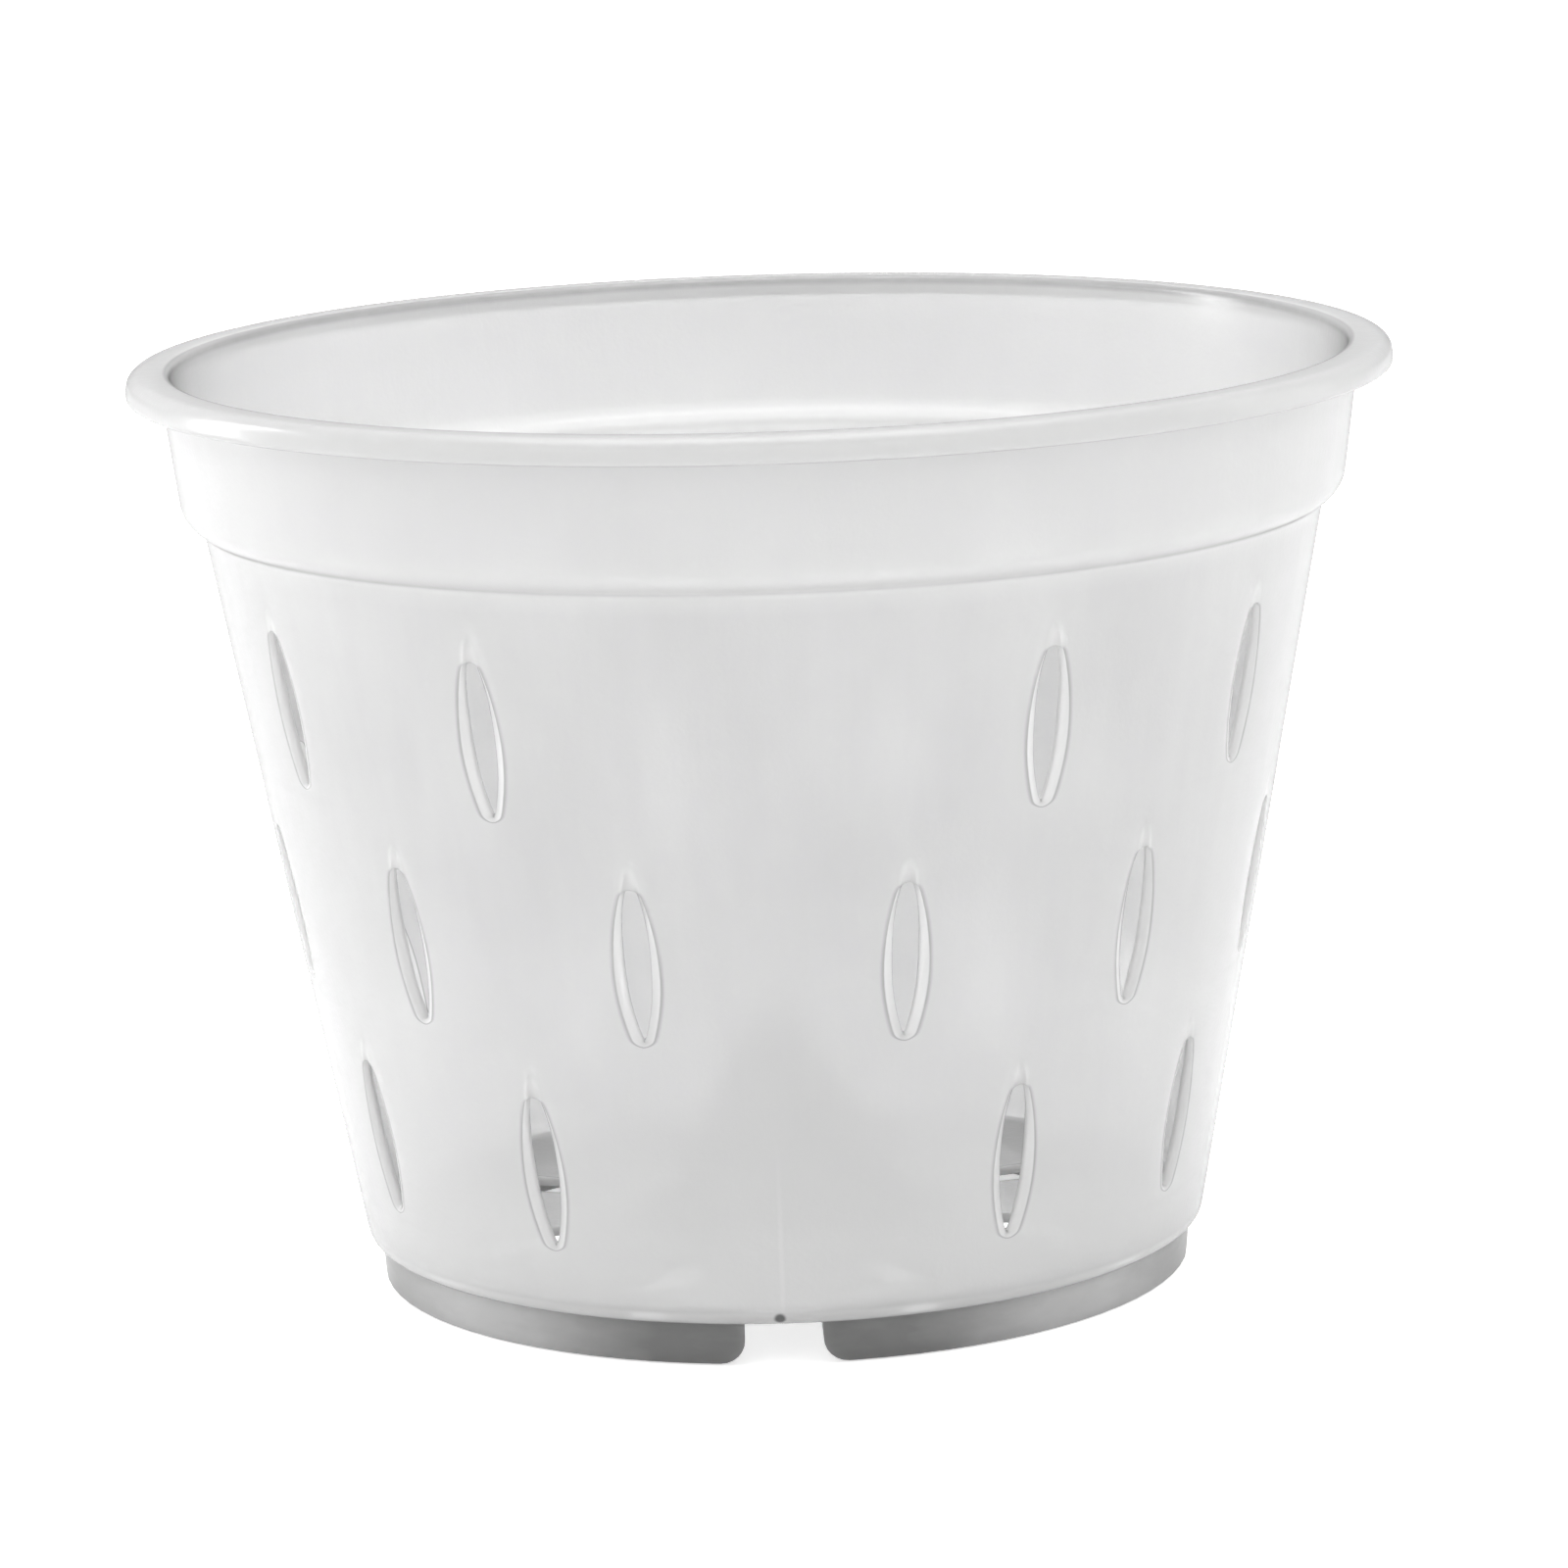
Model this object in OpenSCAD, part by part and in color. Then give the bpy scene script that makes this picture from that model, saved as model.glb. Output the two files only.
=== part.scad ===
// Orchid pot with slots, moulded in one piece from thin clear plastic.
// The zones of the moulding are drawn one by one and meet face to face.
// Millimetres, +Z up, origin on the table in the middle of the pot.

/* [Pot] */
// Outer diameter over the lip
lip_d = 153; // [146:1:170]
// Height from the table to the top of the lip
pot_h = 113; // [111:1:125]
// Outer diameter of the wall just above its lower edge
base_d = 103; // [92:1:110]
// Thickness of the wall
wall_t = 1.1; // [0.9:0.1:1.4]

/* [Lip and collar] */
// How far the lip stands out from the collar
lip_overhang = 4.4; // [4:0.1:5.5]
// Height of the lip's hanging skirt, from the top of the lip
skirt_h = 3.2; // [2.8:0.1:3.6]
// Thickness of the lip's skirt
skirt_t = 1.3; // [1:0.1:1.5]
// Height from the top of the lip to the underside of the shoulder
collar_h = 20.6; // [18:0.2:22.6]
// How far the collar narrows towards the shoulder
collar_taper = 1.5; // [1:0.1:2]
// How far the shoulder steps in to the wall
shoulder_step = 3; // [2.6:0.1:3.4]
// Rounding of the shoulder
shoulder_r = 3.8; // [3.4:0.1:4.2]

/* [Slots in the wall] */
// Length of one slot along the wall
slot_l = 19; // [15:0.5:20]
// Width of one slot
slot_w = 5; // [4:0.2:6]
// Rounding of a slot's ends
slot_end_r = 1.2; // [0.8:0.1:1.6]
// Height of the middle of the lower row above the table
lower_row_z = 23; // [23:0.5:25]
// Height from one row of slots to the next
row_pitch = 26.5; // [25:0.5:27]
// Slots in one full row
row_slots = 12; // [8, 12, 16]
// How many degrees the slots' upright faces lean in, so that the mould's core lifts out
slot_draft = 4; // [3:0.5:6]

/* [Floor and cone] */
// Thickness of the floor and of the cone
floor_t = 1.2; // [1:0.1:1.5]
// Height of the cone above the floor
cone_h = 25.3; // [18:0.5:32]
// Radius of the cone where it leaves the floor
cone_r = 16; // [12:0.5:18]
// Rounding of the cone's tip
cone_tip_r = 4; // [3:0.5:5]
// Drainage slots in the floor
drain_slots = 8; // [4, 8, 12]
// Width of a drainage slot
drain_w = 6; // [4:0.5:7]
// Length of a drainage slot
drain_l = 14.5; // [10:0.5:15]

/* [Foot] */
// Height of the foot ring
foot_h = 5; // [4:0.5:6]
// Thickness of the foot ring
foot_t = 1.8; // [1.4:0.1:2.4]
// Width of the notch between two feet
notch_w = 9; // [6:0.5:12]
// Rounding of a foot's lower corners
notch_r = 3; // [2:0.5:3.5]

/* [Hidden] */
$fn = 120;

// Cut tools reach this far past the solid that they cut
past = 1;

// Heights of the joints between zones
lip_joint_z = pot_h - 4;
wall_top_z = pot_h - collar_h;
base_top_z = foot_h + 6;
floor_top_z = foot_h + floor_t;
below_row = slot_l / 2 + 1.5;
upper_joint_z = lower_row_z + 2 * row_pitch - below_row;
lower_joint_z = lower_row_z + row_pitch - below_row;

// The wall is a plain cone
lip_r = lip_d / 2;
base_r = base_d / 2;
collar_top_r = lip_r - lip_overhang;
collar_bottom_r = collar_top_r - collar_taper;
wall_top_r = collar_bottom_r - shoulder_step;
wall_lean = (wall_top_r - base_r) / (wall_top_z - foot_h);
wall_angle = atan(wall_lean);
function wall_out(z) = base_r + (z - foot_h) * wall_lean;
function wall_in(z) = wall_out(z) - wall_t / cos(wall_angle);

// The collar runs from the lip down to where the shoulder's rounding starts
shoulder_top_z = wall_top_z + shoulder_r + 1;
collar_angle = atan(collar_taper / (lip_joint_z - shoulder_top_z));
collar_wall_t = wall_t / cos(collar_angle);

// The rounded lower edge of the wall, outside and inside
heel_r = 1.6;
heel_c = [wall_out(foot_h + heel_r) - heel_r / cos(wall_angle), foot_h + heel_r];
inner_heel_r = 3;
inner_heel_z = floor_top_z + inner_heel_r;
inner_heel_c = [wall_in(inner_heel_z) - inner_heel_r / cos(wall_angle), inner_heel_z];
floor_r = inner_heel_c[0] - 0.8;

// The cone's flank is a tangent to its round tip
tip_c = [0, floor_top_z + cone_h - cone_tip_r];
tip_rise = tip_c[1] - floor_top_z;
cone_angle = atan(cone_r / tip_rise) - asin(cone_tip_r / norm([cone_r, tip_rise]));
cone_fillet_r = 3;
cone_fillet_c = [
    cone_r + cone_fillet_r * (1 - sin(cone_angle)) / cos(cone_angle),
    floor_top_z + cone_fillet_r
];
cone_edge_r = cone_fillet_c[0] + 1.5;
drain_mid_r = (cone_edge_r + floor_r) / 2;

// The foot stands under the round lower edge and narrows a little downwards
foot_r = heel_c[0];
foot_taper = 0.3;

// Points on an arc about c, both ends included
function arc(c, r, from, to, steps = 8) = [
    for (i = [0 : steps])
        let (a = from + (to - from) * i / steps)
            c + r * [cos(a), sin(a)]
];

// A row leaves out the slots that would stand over a notch where skip is true
function row_angles(start, skip) = [
    for (i = [0 : row_slots - 1])
        let (a = start + i * 360 / row_slots)
            if (!(skip && abs(a / 90 - round(a / 90)) < 0.01)) a
];

// Milky clear plastic, which reads as grey where the feet stand in shade
module zone(shade = "whitesmoke") {
    color(shade) children();
}

module ring(outline) {
    rotate_extrude() polygon(outline);
}

// The lip turns out over the collar and ends in a short hanging skirt
module rolled_lip() {
    inner_round = 0.9;
    outer_round = 1.9;
    flare = 0.3;
    inside_r = collar_top_r - collar_wall_t;
    inner_c = [inside_r + inner_round, pot_h - inner_round];
    outer_c = [lip_r - flare - outer_round, pot_h - outer_round];
    skirt_z = pot_h - skirt_h;
    zone() ring(concat(
        [[inside_r, lip_joint_z]],
        arc(inner_c, inner_round, 180, 90),
        arc(outer_c, outer_round, 90, 10),
        [[lip_r, skirt_z + flare], [lip_r - flare, skirt_z], [lip_r - skirt_t, skirt_z]],
        arc(outer_c, outer_round - 1.2, 10, 90),
        [[collar_top_r + 0.6, pot_h - 1.2], [collar_top_r, pot_h - 1.8]],
        [[collar_top_r, lip_joint_z]]
    ));
}

module collar() {
    zone() ring([
        [collar_bottom_r - collar_wall_t, shoulder_top_z],
        [collar_bottom_r, shoulder_top_z],
        [collar_top_r, lip_joint_z],
        [collar_top_r - collar_wall_t, lip_joint_z]
    ]);
}

// A round shoulder carries the next pot of a stack, and a small fillet ends it on the wall
module stacking_shoulder() {
    fillet_r = 1.2;
    round_c = [
        collar_bottom_r - shoulder_r * cos(collar_angle),
        shoulder_top_z + shoulder_r * sin(collar_angle)
    ];
    reach = shoulder_r + fillet_r;
    gap = wall_out(round_c[1]) + fillet_r / cos(wall_angle) - round_c[0];
    lean2 = 1 + wall_lean * wall_lean;
    drop = (-gap * wall_lean - sqrt(reach * reach * lean2 - gap * gap)) / lean2;
    fillet_c = round_c + [gap + wall_lean * drop, drop];
    turn = atan2(-drop, -gap - wall_lean * drop);
    wall_turn = 180 - wall_angle;
    inner_r = shoulder_r - wall_t;
    inner_end = asin((shoulder_top_z - round_c[1]) / inner_r);
    zone() ring(concat(
        arc(round_c, shoulder_r, -collar_angle, turn - 180),
        arc(fillet_c, fillet_r, turn, wall_turn),
        [[wall_out(wall_top_z), wall_top_z], [wall_in(wall_top_z), wall_top_z]],
        arc(fillet_c, fillet_r + wall_t, wall_turn, turn),
        arc(round_c, inner_r, turn - 180, inner_end)
    ));
}

// The upper half of a slot's oval, from its right side over the top to its left side
function slot_half() =
    let (
        half_w = slot_w / 2,
        end_y = slot_l / 2 - slot_end_r,
        side_r = (end_y * end_y + half_w * half_w - slot_end_r * slot_end_r)
            / (2 * (half_w - slot_end_r)),
        bend = asin(end_y / (side_r - slot_end_r)),
        right_side = arc([half_w - side_r, 0], side_r, 0, bend, 5),
        top_end = arc([0, end_y], slot_end_r, bend, 180 - bend, 5),
        left_side = arc([side_r - half_w, 0], side_r, 180 - bend, 180, 5)
    )
    concat(right_side, [for (i = [1 : 4]) top_end[i]], left_side);

// A slot's cutter stands upright, as on the core of the mould. Below it cuts the oval's hole, and above
// the hole it leaves a groove in the inner face, where the wall thins towards the slot's upper edge
module slot_cutter(row_z) {
    half = slot_half();
    side = slot_w / 2;
    shut_angle = wall_angle + slot_draft;
    back = slot_l / 2 * sin(shut_angle) + wall_t + past;
    seen_from_front = concat(
        [[side, 2 * slot_l]],
        [for (p = half) [p[0], -p[1] * cos(wall_angle)]],
        [[-side, 2 * slot_l]]
    );
    seen_from_above = concat(
        [[side + past, back]],
        [for (p = half) [p[0], -p[1] * sin(shut_angle)]],
        [[-side - past, back]]
    );
    translate([0, -wall_out(row_z), row_z]) intersection() {
        rotate([90, 0, 0]) linear_extrude(slot_l, center = true) polygon(seen_from_front);
        rotate([-slot_draft, 0, 0]) linear_extrude(2 * slot_l, center = true) polygon(seen_from_above);
    }
}

// One stretch of the cone between two joints, with its row of slots
module wall_band(bottom_z, top_z, row_z, angles) {
    zone() difference() {
        ring([
            [wall_in(bottom_z), bottom_z],
            [wall_out(bottom_z), bottom_z],
            [wall_out(top_z), top_z],
            [wall_in(top_z), top_z]
        ]);
        for (a = angles) rotate([0, 0, a]) slot_cutter(row_z);
    }
}

module upper_wall() {
    wall_band(upper_joint_z, wall_top_z, lower_row_z + 2 * row_pitch, row_angles(0, true));
}

module middle_wall() {
    wall_band(lower_joint_z, upper_joint_z, lower_row_z + row_pitch, row_angles(180 / row_slots, false));
}

module lower_wall() {
    wall_band(base_top_z, lower_joint_z, lower_row_z, row_angles(0, true));
}

// The wall turns round into the floor
module base_edge() {
    zone() ring(concat(
        [[floor_r, foot_h]],
        arc(heel_c, heel_r, -90, -wall_angle),
        [[wall_out(base_top_z), base_top_z], [wall_in(base_top_z), base_top_z]],
        arc(inner_heel_c, inner_heel_r, -wall_angle, -90),
        [[floor_r, floor_top_z]]
    ));
}

// A flat floor with drainage slots that point at the middle
module floor_plate() {
    side_l = drain_l - drain_w;
    zone() translate([0, 0, foot_h]) linear_extrude(floor_t) difference() {
        circle(floor_r);
        circle(cone_edge_r);
        for (i = [0 : drain_slots - 1])
            rotate((i + 0.5) * 360 / drain_slots) translate([0, drain_mid_r]) {
                square([drain_w, side_l], center = true);
                for (side = [-1, 1])
                    translate([0, side * side_l / 2]) circle(drain_w / 2);
            }
    }
}

// A thin cone, open below, that lets air up into the middle of the pot
module aeration_cone() {
    flank = cone_angle - 180;
    zone() ring(concat(
        [[cone_edge_r, foot_h], [cone_edge_r, floor_top_z]],
        arc(cone_fillet_c, cone_fillet_r, -90, flank),
        arc(tip_c, cone_tip_r, cone_angle, 90),
        arc(tip_c, cone_tip_r - floor_t, 90, cone_angle),
        arc(cone_fillet_c, cone_fillet_r + floor_t, flank, -90)
    ));
}

// The notch between two feet, with the feet's lower corners rounded
module notch_cut() {
    rotate([90, 0, 0]) linear_extrude(foot_r + past) {
        translate([-notch_w / 2, -past]) square([notch_w, foot_h + 2 * past]);
        difference() {
            translate([-notch_w / 2 - notch_r, -past]) square([notch_w + 2 * notch_r, notch_r + past]);
            for (side = [-1, 1])
                translate([side * (notch_w / 2 + notch_r), notch_r]) circle(notch_r);
        }
    }
}

// A quarter of the foot ring, its first notch at the angle start
module foot(start) {
    zone("darkgray") rotate([0, 0, start]) difference() {
        rotate([0, 0, -90]) rotate_extrude(angle = 90) polygon([
            [foot_r - foot_taper - foot_t, 0],
            [foot_r - foot_taper, 0],
            [foot_r, foot_h],
            [foot_r - foot_t, foot_h]
        ]);
        notch_cut();
        rotate([0, 0, 90]) notch_cut();
    }
}

rolled_lip();
collar();
stacking_shoulder();
upper_wall();
middle_wall();
lower_wall();
base_edge();
floor_plate();  // floor
aeration_cone();
foot(0);  // foot_front_right
foot(90);  // foot_back_right
foot(180);  // foot_back_left
foot(270);  // foot_front_left
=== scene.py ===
"""Dresses a slotted orchid pot: one thin moulding of milky clear polypropylene on four feet.

Lengths in the modelling functions are millimetres, and each finished mesh is in metres, +Z up,
with the pot's axis on Z and its feet on the plane z = 0. An azimuth is in degrees, 0 at the front
and growing to the right.
"""

import math

import bpy
from mathutils import Matrix, Vector


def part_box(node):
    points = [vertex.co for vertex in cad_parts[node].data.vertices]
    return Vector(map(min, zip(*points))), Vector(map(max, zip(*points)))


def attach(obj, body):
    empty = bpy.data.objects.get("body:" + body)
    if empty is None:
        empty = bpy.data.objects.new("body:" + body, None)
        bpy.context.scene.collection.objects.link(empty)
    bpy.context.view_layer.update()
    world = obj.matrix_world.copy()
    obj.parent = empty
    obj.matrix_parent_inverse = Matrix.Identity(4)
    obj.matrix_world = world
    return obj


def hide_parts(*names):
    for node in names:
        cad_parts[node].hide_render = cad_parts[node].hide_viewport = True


bl_info = {
    "name": "Slotted orchid pot",
    "version": (1, 0, 0),
    "blender": (4, 5, 0),
    "location": "View3D > Sidebar > Orchid Pot",
    "description": "Models and dresses a clear orchid pot with slotted walls",
    "category": "Object",
}

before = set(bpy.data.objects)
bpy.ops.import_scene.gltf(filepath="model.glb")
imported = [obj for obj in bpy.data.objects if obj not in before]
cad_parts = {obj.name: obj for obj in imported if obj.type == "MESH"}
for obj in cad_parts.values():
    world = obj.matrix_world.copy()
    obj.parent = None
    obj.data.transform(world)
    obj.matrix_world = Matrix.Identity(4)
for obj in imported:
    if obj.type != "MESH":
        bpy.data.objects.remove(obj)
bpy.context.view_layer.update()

TO_METRES = 0.001
TO_MILLIMETRES = 1000
CLEAR_NODES = (
    "rolled_lip",
    "collar",
    "stacking_shoulder",
    "upper_wall",
    "middle_wall",
    "lower_wall",
    "base_edge",
    "floor",
    "aeration_cone",
)
# Each foot's turn from the one at the front right, in degrees
OTHER_FEET = {"foot_back_right": 90, "foot_back_left": 180, "foot_front_left": 270}

# Steps round the pot. The slotted cells' borders have the same steps, so that all strips join
AROUND = 72
# Points round one slot
SLOT_POINTS = 24
# Steps along one foot, each longer than its corner's rounding
FOOT_STEPS = 18
# Degrees between the slots of a row
CELL = 30
# How much of the wall belongs to a slot's cell below the slot
BELOW_SLOT = 1.5
# How far the feet run up into the clear floor, as on the real moulding
FOOT_IN_FLOOR = 0.3
# The whole wall lies outside this radius, and the cone and the drainage slots' middles inside it
INSIDE_WALL_R = 45
# Rounding of the lower edge
HEEL_R = 1.6

# The mesh attribute that is 1 on a slot's edge and 0 on the open wall
RIM = "slot_rim"
WALL_ROUGH = 0.22
LOW_WALL_ROUGH = 0.12
RIM_ROUGH = 0.1
WALL_CLEAR = 0.48
FOOT_CLEAR = 0.35
POLYPROPYLENE_IOR = 1.49
# Settings of a Mix node that blends colours, and of a Map Range node that runs softly
BLEND = {"data_type": "RGBA"}
SOFT = {"interpolation_type": "SMOOTHSTEP"}

# The lamps' places and sizes in metres, and their power in watts
LAMPS = {
    "softbox_left": ((-0.76, 0.26, 0.2), (0.16, 0.8), 3.9),
    "softbox_right": ((0.75, 0.2, 0.25), (0.4, 0.8), 0.9),
    "softbox_top": ((0, 0.1, 1.0), (0.8, 0.8), 5.0),
}
POT_MIDDLE = (0, 0, 0.055)
# How bright the surroundings are on the camera's side and behind the pot
ROOM_LEVEL, BACKDROP_LEVEL = 0.94, 1.3
FLOOR_GLOW = 0.6


def millimetres(node, corner, axis):
    """A coordinate of a node's box, in millimetres."""
    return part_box(node)[corner][axis] / TO_METRES


def outer_radius(node):
    return millimetres(node, 1, 0)


def sizes_from_frame():
    """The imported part's own sizes in millimetres, from the boxes of its nodes."""
    wall_top_z = millimetres("upper_wall", 1, 2)
    base_top_z = millimetres("base_edge", 1, 2)
    wall_top_r = outer_radius("upper_wall")
    lean = (wall_top_r - outer_radius("base_edge")) / (wall_top_z - base_top_z)
    lower_joint_z = millimetres("middle_wall", 0, 2)
    row_pitch = millimetres("upper_wall", 0, 2) - lower_joint_z
    return {
        "lip_r": outer_radius("rolled_lip"),
        "height": millimetres("rolled_lip", 1, 2),
        "collar_top_r": outer_radius("collar"),
        "collar_bottom_r": outer_radius("stacking_shoulder"),
        "collar_bottom_z": millimetres("collar", 0, 2),
        "collar_top_z": millimetres("collar", 1, 2),
        "wall_top_z": wall_top_z,
        "wall_top_r": wall_top_r,
        "wall_lean": lean,
        "foot_height": millimetres("foot_front_right", 1, 2),
        "foot_r": outer_radius("foot_front_right"),
        "floor_top_z": millimetres("floor", 1, 2),
        "floor_r": outer_radius("floor"),
        "cone_edge_r": outer_radius("aeration_cone"),
        "cone_top_z": millimetres("aeration_cone", 1, 2),
        "row_pitch": row_pitch,
        "rows_low_z": lower_joint_z - row_pitch,
        "rows_high_z": lower_joint_z + 2 * row_pitch,
    }


CAD = sizes_from_frame()


def size_prop(name, description, millimetre_value):
    """A length that a user may change, kept in metres as Blender shows it."""
    return bpy.props.FloatProperty(
        name=name,
        description=description,
        default=millimetre_value * TO_METRES,
        min=0.0,
        unit="LENGTH",
        precision=5,
    )


def to_linear(hex_colour):
    """An sRGB hex colour such as #E0E1E2 as linear red, green and blue."""
    parts = [int(hex_colour[i : i + 2], 16) / 255 for i in (1, 3, 5)]
    return [p / 12.92 if p <= 0.04045 else ((p + 0.055) / 1.055) ** 2.4 for p in parts]


def colour_prop(name, description, hex_colour):
    return bpy.props.FloatVectorProperty(
        name=name,
        description=description,
        default=to_linear(hex_colour),
        min=0.0,
        max=1.0,
        size=3,
        subtype="COLOR",
    )


class PotShape(bpy.types.PropertyGroup):
    """Sizes of the moulding that are finer than the construction's."""

    wall_t: size_prop("Wall thickness", "Thickness of the moulded wall", 1.1)
    slot_length: size_prop("Slot length", "Length of a slot along the wall", 19.0)
    slot_width: size_prop("Slot width", "Width of a slot at its middle", 5.0)
    slot_end_r: size_prop("Slot end rounding", "Radius of a slot's ends", 1.2)
    slot_lead_in: size_prop("Slot lead-in", "How far a slot's rounded edge reaches out", 0.6)
    slot_throat: size_prop("Slot throat", "How far a slot's edge stands in from its line", 0.85)
    groove_length: size_prop("Groove length", "Length of the groove inside above a slot", 4.4)
    drain_length: size_prop("Drainage slot length", "Length of a drainage slot", 14.5)
    drain_width: size_prop("Drainage slot width", "Width of a drainage slot", 6.0)
    foot_t: size_prop("Foot thickness", "Thickness of the foot ring", 1.8)
    notch_width: size_prop("Notch width", "Width of the notch between two feet", 9.0)
    notch_r: size_prop("Foot corner rounding", "Radius of a foot's lower corners", 3.0)


class PotFinish(bpy.types.PropertyGroup):
    """Colours of the plastic and of the stage."""

    clear_colour: colour_prop("Clear plastic", "Colour of the milky polypropylene", "#E4E4E4")
    hazy_colour: colour_prop("Haze", "Colour of the clouds of haze in it", "#DFDFDF")
    # Painted light: the lower wall is drawn in this paler colour to lift the shade near the floor,
    # and the collar takes part of it
    low_colour: colour_prop("Paler plastic", "Colour near the floor, its inlet", "#ECECEC")
    # Painted light: this white is the painted highlight on the slots' edges and along the lower
    # edge, and the light through the thin wall over the grooves; it is also the real pale parting
    # line
    pale_mark_and_painted_light_colour: colour_prop("Pale marks and painted light", "Colour where the wall is thinnest", "#FFFFFF")
    # Painted shade: this grey darkens the slots' outer edge lines, the cone, the lip's inner
    # corner and the inner faces; it is also the real colour of the gate's scar
    gate_scar_and_shade_colour: colour_prop("Gate scar and painted shade", "Colour where light goes through most", "#7C7C7C")
    skin_colour: colour_prop("Skin", "What the satin skin lets through straight on", "#FAFAFA")
    foot_colour: colour_prop("Foot plastic", "Colour of a foot beside a notch", "#828282")
    foot_pale_colour: colour_prop("Paler foot plastic", "Colour midway along a foot", "#C6C6C6")
    floor_colour: colour_prop("Floor", "Colour of the plain floor", "#F4F4F4")


def shape_mm(name):
    """A length from the panel, in millimetres."""
    return getattr(bpy.context.scene.pot_shape, name) / TO_METRES


def wall_out(z):
    return CAD["wall_top_r"] - (CAD["wall_top_z"] - z) * CAD["wall_lean"]


def wall_angle():
    return math.atan(CAD["wall_lean"])


def wall_in(z):
    return wall_out(z) - shape_mm("wall_t") / math.cos(wall_angle())


def arc(centre, radius, start, end, steps):
    """Points on an arc in the plane of radius and height, its angles in degrees."""
    points = []
    for i in range(steps + 1):
        a = math.radians(start + (end - start) * i / steps)
        points.append((centre[0] + radius * math.cos(a), centre[1] + radius * math.sin(a)))
    return points


def between(a, b, count):
    """Points that part the line from a to b evenly, without its ends."""
    return [
        tuple(a[k] + (b[k] - a[k]) * (i + 1) / (count + 1) for k in range(2)) for i in range(count)
    ]


def start_clean():
    if bpy.context.object and bpy.context.object.mode != "OBJECT":
        bpy.ops.object.mode_set(mode="OBJECT")
    bpy.ops.object.select_all(action="DESELECT")


def turned_copy(obj, degrees, name):
    """A copy with its own mesh, turned about the pot's axis."""
    start_clean()
    obj.select_set(True)
    bpy.context.view_layer.objects.active = obj
    bpy.ops.object.duplicate(linked=False)
    copy = bpy.context.object
    copy.name = name
    copy.rotation_euler.z = math.radians(degrees)
    bpy.ops.object.transform_apply(location=True, rotation=True, scale=True)
    return copy


def copied_round(pieces, turns):
    """The pieces and their copies at each of the turns, in degrees."""
    return pieces + [turned_copy(piece, turn, piece.name) for turn in turns for piece in pieces]


def in_metres(obj):
    """Brings a mesh that was modelled in millimetres to metres, with its place in its mesh."""
    obj.scale = [TO_METRES] * 3
    bpy.ops.object.transform_apply(location=True, rotation=True, scale=True)


def spin_profile(name, points, sweep=360.0, start=0.0, steps=AROUND, closed=False):
    """Draws a line of (radius, height) points by extruding a vertex, and spins it about Z."""
    start_clean()
    a = math.radians(start)
    places = [Vector((r * math.cos(a), r * math.sin(a), z)) for r, z in points]
    bpy.ops.mesh.primitive_plane_add(size=1.0, location=places[0])
    obj = bpy.context.object
    obj.name = name
    bpy.ops.object.transform_apply(location=True, rotation=True, scale=True)
    bpy.ops.object.mode_set(mode="EDIT")
    bpy.ops.mesh.select_mode(type="VERT")
    bpy.ops.mesh.select_all(action="SELECT")
    bpy.ops.mesh.merge(type="CENTER")
    for last, place in zip(places, places[1:]):
        bpy.ops.mesh.extrude_region_move(TRANSFORM_OT_translate={"value": place - last})
    if closed:
        bpy.ops.mesh.select_all(action="DESELECT")
        bpy.ops.object.mode_set(mode="OBJECT")
        obj.data.vertices[0].select = True
        obj.data.vertices[len(points) - 1].select = True
        bpy.ops.object.mode_set(mode="EDIT")
        bpy.ops.mesh.edge_face_add()
    bpy.ops.mesh.select_all(action="SELECT")
    # The operator turns clockwise about its axis
    bpy.ops.mesh.spin(
        steps=steps, angle=math.radians(sweep), center=(0, 0, 0), axis=(0, 0, -1)
    )
    bpy.ops.mesh.select_all(action="SELECT")
    bpy.ops.mesh.remove_doubles(threshold=0.001)
    bpy.ops.object.mode_set(mode="OBJECT")
    return obj


def wrapped_grid(name, columns, rows, place, rim_share=None):
    """Adds a grid and moves each of its points to place(column, row).

    rim_share(row) is kept on the points, for the polish of a slot's edge and its painted highlight
    and shade lines.
    """
    start_clean()
    bpy.ops.mesh.primitive_grid_add(x_subdivisions=columns, y_subdivisions=rows, size=2.0)
    obj = bpy.context.object
    obj.name = name
    rim = obj.data.attributes.new(RIM, "FLOAT", "POINT")
    for v in obj.data.vertices:
        column = round((v.co.x + 1) / 2 * columns)
        row = round((v.co.y + 1) / 2 * rows)
        v.co = place(column, row)
        rim.data[v.index].value = rim_share(row) if rim_share else 0.0
    return obj


def oval(length, width, end_r, per_side, per_end):
    """Points of an oval, from its lower right over its right side and top, round to the start."""
    half_w = width / 2
    end_y = length / 2 - end_r
    side_r = (end_y**2 + half_w**2 - end_r**2) / (2 * (half_w - end_r))
    bend = math.degrees(math.asin(end_y / (side_r - end_r)))
    right = arc((half_w - side_r, 0), side_r, -bend, bend, per_side)
    top = arc((0, end_y), end_r, bend, 180 - bend, per_end)
    half = right + top[1:-1]
    return half + [(-x, -y) for x, y in half]


def stadium(length, width, per_side, per_end):
    """Points of a straight slot with round ends, in the oval's order."""
    r = width / 2
    end_y = length / 2 - r
    right = [(r, -end_y), *between((r, -end_y), (r, end_y), per_side - 1), (r, end_y)]
    top = arc((0, end_y), r, 0, 180, per_end)
    half = right + top[1:-1]
    return half + [(-x, -y) for x, y in half]


def smoothstep(value):
    t = min(1.0, max(0.0, value))
    return t * t * (3 - 2 * t)


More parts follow.
